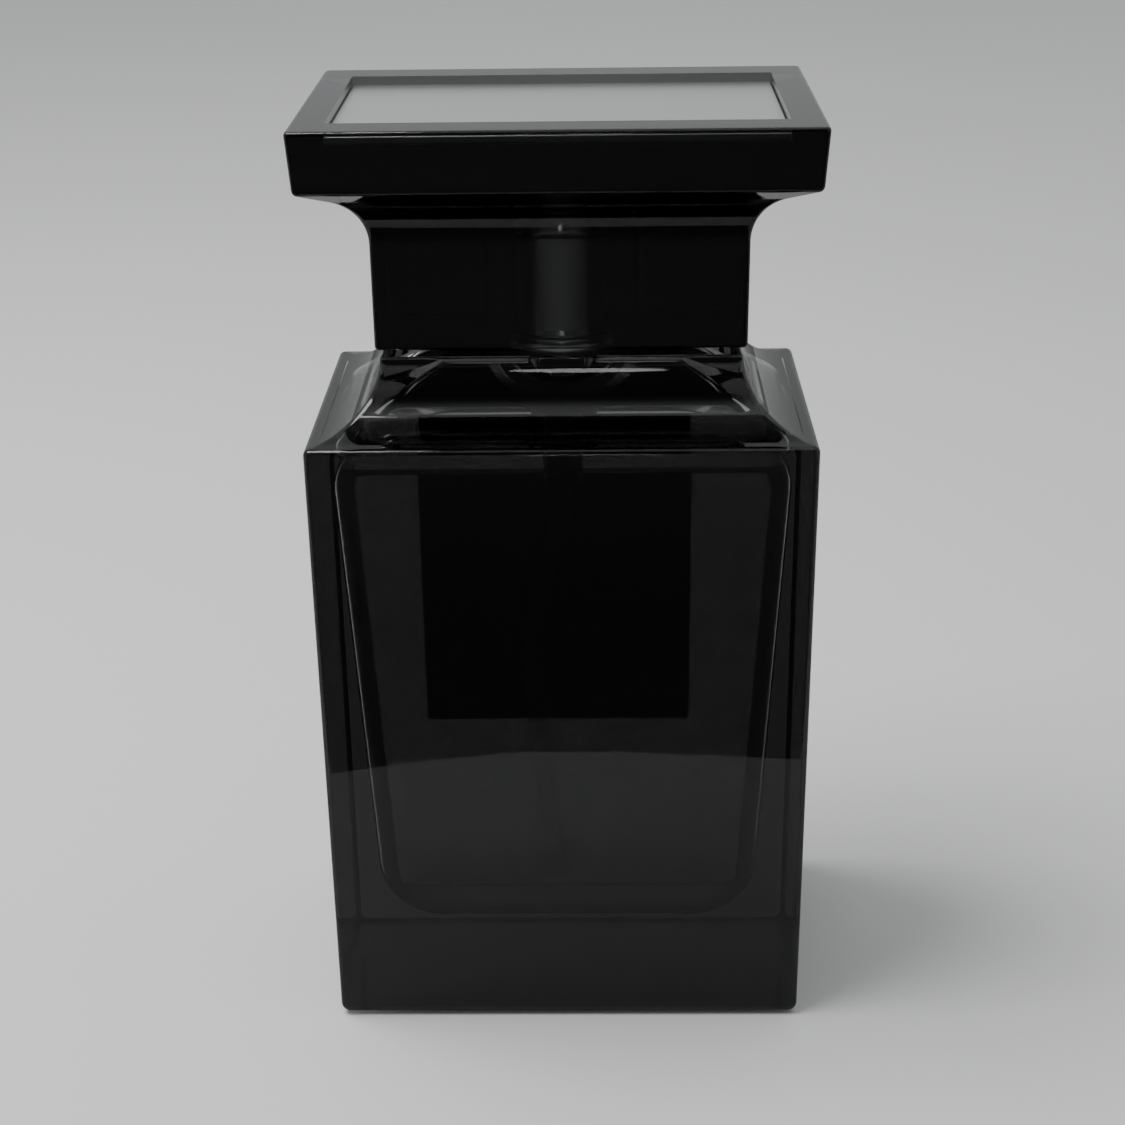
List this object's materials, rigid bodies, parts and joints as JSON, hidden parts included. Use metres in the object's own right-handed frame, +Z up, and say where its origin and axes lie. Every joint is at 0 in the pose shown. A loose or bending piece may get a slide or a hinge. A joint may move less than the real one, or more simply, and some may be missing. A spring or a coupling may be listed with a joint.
{
  "type": "aftershave spray bottle",
  "caption": "Rectangular smoked-glass aftershave bottle with coved shoulders, crimped spray pump, satin collar and button, and a flared lift-off cap with an inset metal plate.",
  "frame": {"origin": "centre of the base, on the surface the bottle stands on", "axes": "+Z up through the neck and cap; +Y the way the spray leaves, through the labelled face; +X across the bottle's width"},
  "size_m": [0.066, 0.0417, 0.128],
  "materials": {
    "smoked_glass": "polished, smoke-tinted",
    "label_paper": "black print, matt",
    "gasket_rubber": "matt",
    "pump_plastic": "moulded, natural",
    "spring_steel": "drawn wire",
    "tube_plastic": "extruded, translucent",
    "crimp_aluminium": "drawn",
    "collar_aluminium": "satin anodised",
    "button_plastic": "moulded",
    "cap_plastic": "polished, deep smoke tint, faintly see-through",
    "liner_plastic": "moulded",
    "pad_film": "adhesive film",
    "plate_aluminium": "satin anodised"
  },
  "bodies": {
    "bottle": {"glass_bottle": "smoked_glass", "label": "label_paper", "neck_gasket": "gasket_rubber", "pump_housing": "pump_plastic", "stem_guide": "pump_plastic", "stem_seal": "gasket_rubber", "main_spring": "spring_steel", "dip_tube": "tube_plastic", "crimp_ferrule": "crimp_aluminium", "collar_insert": "pump_plastic", "collar_shell": "collar_aluminium"},
    "pump": {"stem": "pump_plastic", "piston": "pump_plastic"},
    "button": {"actuator_core": "button_plastic", "actuator_shell": "collar_aluminium", "nozzle_insert": "button_plastic"},
    "ball": {"inlet_ball": "spring_steel"},
    "cap": {"cap_shell": "cap_plastic", "cap_liner": "liner_plastic", "plate_adhesive": "pad_film", "cap_top_plate": "plate_aluminium"}
  },
  "joints": [
    {"name": "cap_lift", "type": "slide", "parent": "bottle", "child": "cap", "axis": [0, 0, 1], "range_m": [0, 0.04]},
    {"name": "pump_press", "type": "slide", "parent": "bottle", "child": "pump", "axis": [0, 0, -1], "range_m": [0, 0.0042], "stiffness_N_per_m": 2000, "springref_m": -0.004, "deforming": ["main_spring"]},
    {"name": "button_turn", "type": "hinge", "parent": "pump", "child": "button", "pos_m": [0, 0, 0], "axis": [0, 0, 1], "continuous": true},
    {"name": "ball_lift", "type": "slide", "parent": "bottle", "child": "ball", "axis": [0, 0, 1], "range_m": [0, 0.0008]}
  ]
}
